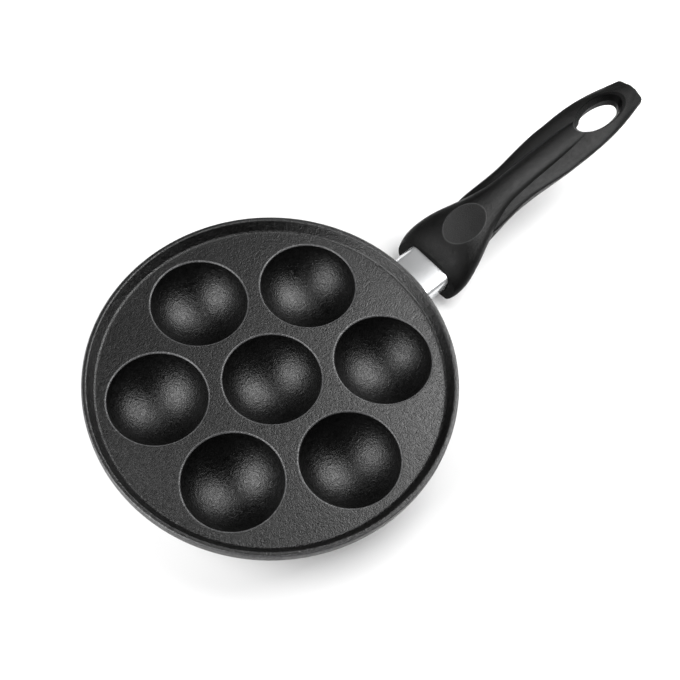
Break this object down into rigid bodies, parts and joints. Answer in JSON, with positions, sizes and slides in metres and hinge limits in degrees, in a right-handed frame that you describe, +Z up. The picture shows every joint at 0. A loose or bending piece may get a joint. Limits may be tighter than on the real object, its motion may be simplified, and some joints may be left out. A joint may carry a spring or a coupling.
{
  "type": "aebleskiver pan",
  "caption": "Shallow round cast pan with hemispherical cups and a straight moulded handle with a hanging hole.",
  "frame": {"origin": "centre of the base, on the plane the pan rests on", "axes": "+Z up out of the cups, +X along the handle from the pan's middle, +Y across"},
  "size_m": [0.3986, 0.2006, 0.0445],
  "materials": {
    "pan_body": "satin black non-stick coating on cast aluminium",
    "flame_guard": "polished",
    "handle": "satin black moulded phenolic",
    "handle_screw": "zinc plated steel",
    "plain_washer": "zinc plated steel",
    "spring_washer": "plain spring steel"
  },
  "bodies": {
    "root": {"pan_body": "pan_body", "flame_guard": "flame_guard", "handle": "handle", "handle_screw": "handle_screw", "plain_washer": "plain_washer", "spring_washer": "spring_washer"}
  },
  "joints": []
}
